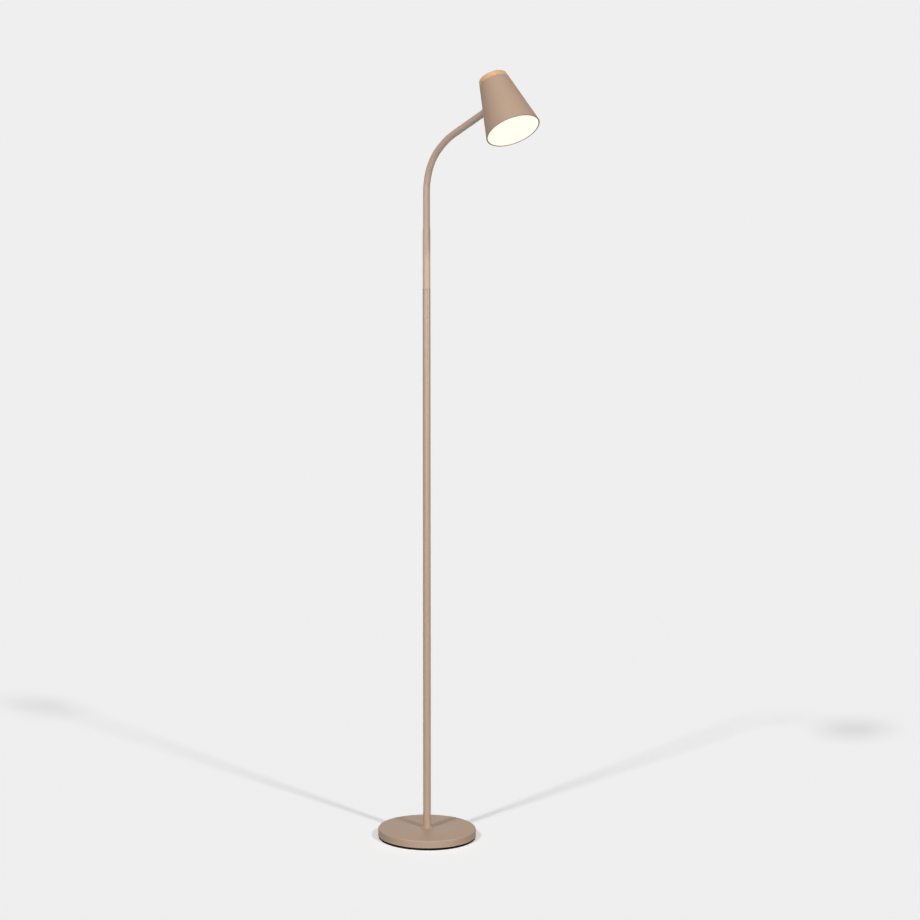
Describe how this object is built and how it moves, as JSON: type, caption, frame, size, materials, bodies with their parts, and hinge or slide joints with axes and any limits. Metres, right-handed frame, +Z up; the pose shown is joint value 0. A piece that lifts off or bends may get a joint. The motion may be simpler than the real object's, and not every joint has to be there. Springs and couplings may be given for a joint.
{
  "type": "gooseneck reading floor lamp",
  "caption": "Floor lamp with a weighted disc base, slim straight pole, bendable gooseneck, conical shade with a wooden end cap and a round lit diffuser",
  "frame": {"origin": "on the floor under the pole, at the centre of the underside of the base pad", "axes": "+Z up the pole, the longest extent; +X from the pole towards the side that the neck bends to and the head hangs over; +Y completes the right hand, and the lamp is alike on both sides of Y = 0"},
  "size_m": [0.429, 0.2, 1.5408],
  "materials": {
    "taupe_paint": "satin taupe powder coat",
    "taupe_rubber": "matt taupe silicone",
    "black_rubber": "matt black",
    "plain_steel": "zinc plated",
    "light_wood": "oiled pale wood",
    "cast_aluminium": "as cast",
    "white_plastic": "matt white",
    "board_white": "white solder resist",
    "led_yellow": "yellow phosphor",
    "opal_diffuser": "opal, lit from behind"
  },
  "bodies": {
    "stand": {"floor_pad": "black_rubber", "base_weight": "plain_steel", "base_cover": "taupe_paint", "base_nut": "plain_steel", "pole_foot": "plain_steel", "pole_collar": "taupe_paint", "pole_tube": "taupe_paint", "lower_ferrule": "taupe_paint", "neck_sleeve_01": "taupe_rubber", "neck_core_01": "plain_steel"},
    "link_01": {"neck_sleeve_02": "taupe_rubber", "neck_core_02": "plain_steel"},
    "link_02": {"neck_sleeve_03": "taupe_rubber", "neck_core_03": "plain_steel"},
    "link_03": {"neck_sleeve_04": "taupe_rubber", "neck_core_04": "plain_steel"},
    "link_04": {"neck_sleeve_05": "taupe_rubber", "neck_core_05": "plain_steel"},
    "link_05": {"neck_sleeve_06": "taupe_rubber", "neck_core_06": "plain_steel"},
    "link_06": {"neck_sleeve_07": "taupe_rubber", "neck_core_07": "plain_steel"},
    "link_07": {"neck_sleeve_08": "taupe_rubber", "neck_core_08": "plain_steel"},
    "link_08": {"neck_sleeve_09": "taupe_rubber", "neck_core_09": "plain_steel"},
    "link_09": {"neck_sleeve_10": "taupe_rubber", "neck_core_10": "plain_steel"},
    "link_10": {"neck_sleeve_11": "taupe_rubber", "neck_core_11": "plain_steel"},
    "link_11": {"neck_sleeve_12": "taupe_rubber", "neck_core_12": "plain_steel"},
    "head": {"neck_sleeve_13": "taupe_rubber", "neck_core_13": "plain_steel", "end_ferrule": "plain_steel", "head_nut": "plain_steel", "shade": "taupe_paint", "wood_cap": "light_wood", "cap_screw": "plain_steel", "heat_sink": "cast_aluminium", "led_driver": "white_plastic", "led_board": "board_white", "led_emitters": "led_yellow", "diffuser": "opal_diffuser"}
  },
  "joints": [
    {"name": "neck_bend_01", "type": "hinge", "parent": "stand", "child": "link_01", "pos_m": [0, 0, 1.25055], "axis": [0, 1, 0], "range_deg": [-25.8, 20.5], "deforming": ["neck_sleeve_01", "neck_sleeve_02"]},
    {"name": "neck_swing_02", "type": "hinge", "parent": "link_01", "child": "link_02", "pos_m": [0, 0, 1.27865], "axis": [-1, 0, 0], "range_deg": [-22.5, 22.5], "deforming": ["neck_sleeve_03"]},
    {"name": "neck_bend_03", "type": "hinge", "parent": "link_02", "child": "link_03", "pos_m": [0, 0, 1.30675], "axis": [0, 1, 0], "range_deg": [-30.6, 15.7], "deforming": ["neck_sleeve_04"]},
    {"name": "neck_bend_04", "type": "hinge", "parent": "link_03", "child": "link_04", "pos_m": [0.00233, 0, 1.33468], "axis": [0, 1, 0], "range_deg": [-41, 5.3], "deforming": ["neck_sleeve_05"]},
    {"name": "neck_swing_05", "type": "hinge", "parent": "link_04", "child": "link_05", "pos_m": [0.01188, 0, 1.36102], "axis": [-0.8856, 0, 0.4645], "range_deg": [-22.5, 22.5], "deforming": ["neck_sleeve_06"]},
    {"name": "neck_bend_06", "type": "hinge", "parent": "link_05", "child": "link_06", "pos_m": [0.02812, 0, 1.38384], "axis": [0, 1, 0], "range_deg": [-40.5, 5.8], "deforming": ["neck_sleeve_07"]},
    {"name": "neck_bend_07", "type": "hinge", "parent": "link_06", "child": "link_07", "pos_m": [0.04963, 0, 1.40183], "axis": [0, 1, 0], "range_deg": [-34.7, 11.6], "deforming": ["neck_sleeve_08"]},
    {"name": "neck_swing_08", "type": "hinge", "parent": "link_07", "child": "link_08", "pos_m": [0.07369, 0, 1.4163], "axis": [-0.4564, 0, 0.8898], "range_deg": [-22.5, 22.5], "deforming": ["neck_sleeve_09"]},
    {"name": "neck_bend_09", "type": "hinge", "parent": "link_08", "child": "link_09", "pos_m": [0.09949, 0, 1.4274], "axis": [0, 1, 0], "range_deg": [-28.6, 17.7], "deforming": ["neck_sleeve_10"]},
    {"name": "neck_bend_10", "type": "hinge", "parent": "link_09", "child": "link_10", "pos_m": [0.12581, 0, 1.43725], "axis": [0, 1, 0], "range_deg": [-25.8, 20.5], "deforming": ["neck_sleeve_11"]},
    {"name": "neck_swing_11", "type": "hinge", "parent": "link_10", "child": "link_11", "pos_m": [0.15212, 0, 1.44709], "axis": [-0.3503, 0, 0.9367], "range_deg": [-22.5, 22.5], "deforming": ["neck_sleeve_12"]},
    {"name": "neck_bend_12", "type": "hinge", "parent": "link_11", "child": "head", "pos_m": [0.17844, 0, 1.45693], "axis": [0, 1, 0], "range_deg": [-25.8, 20.5], "deforming": ["neck_sleeve_13"]}
  ]
}
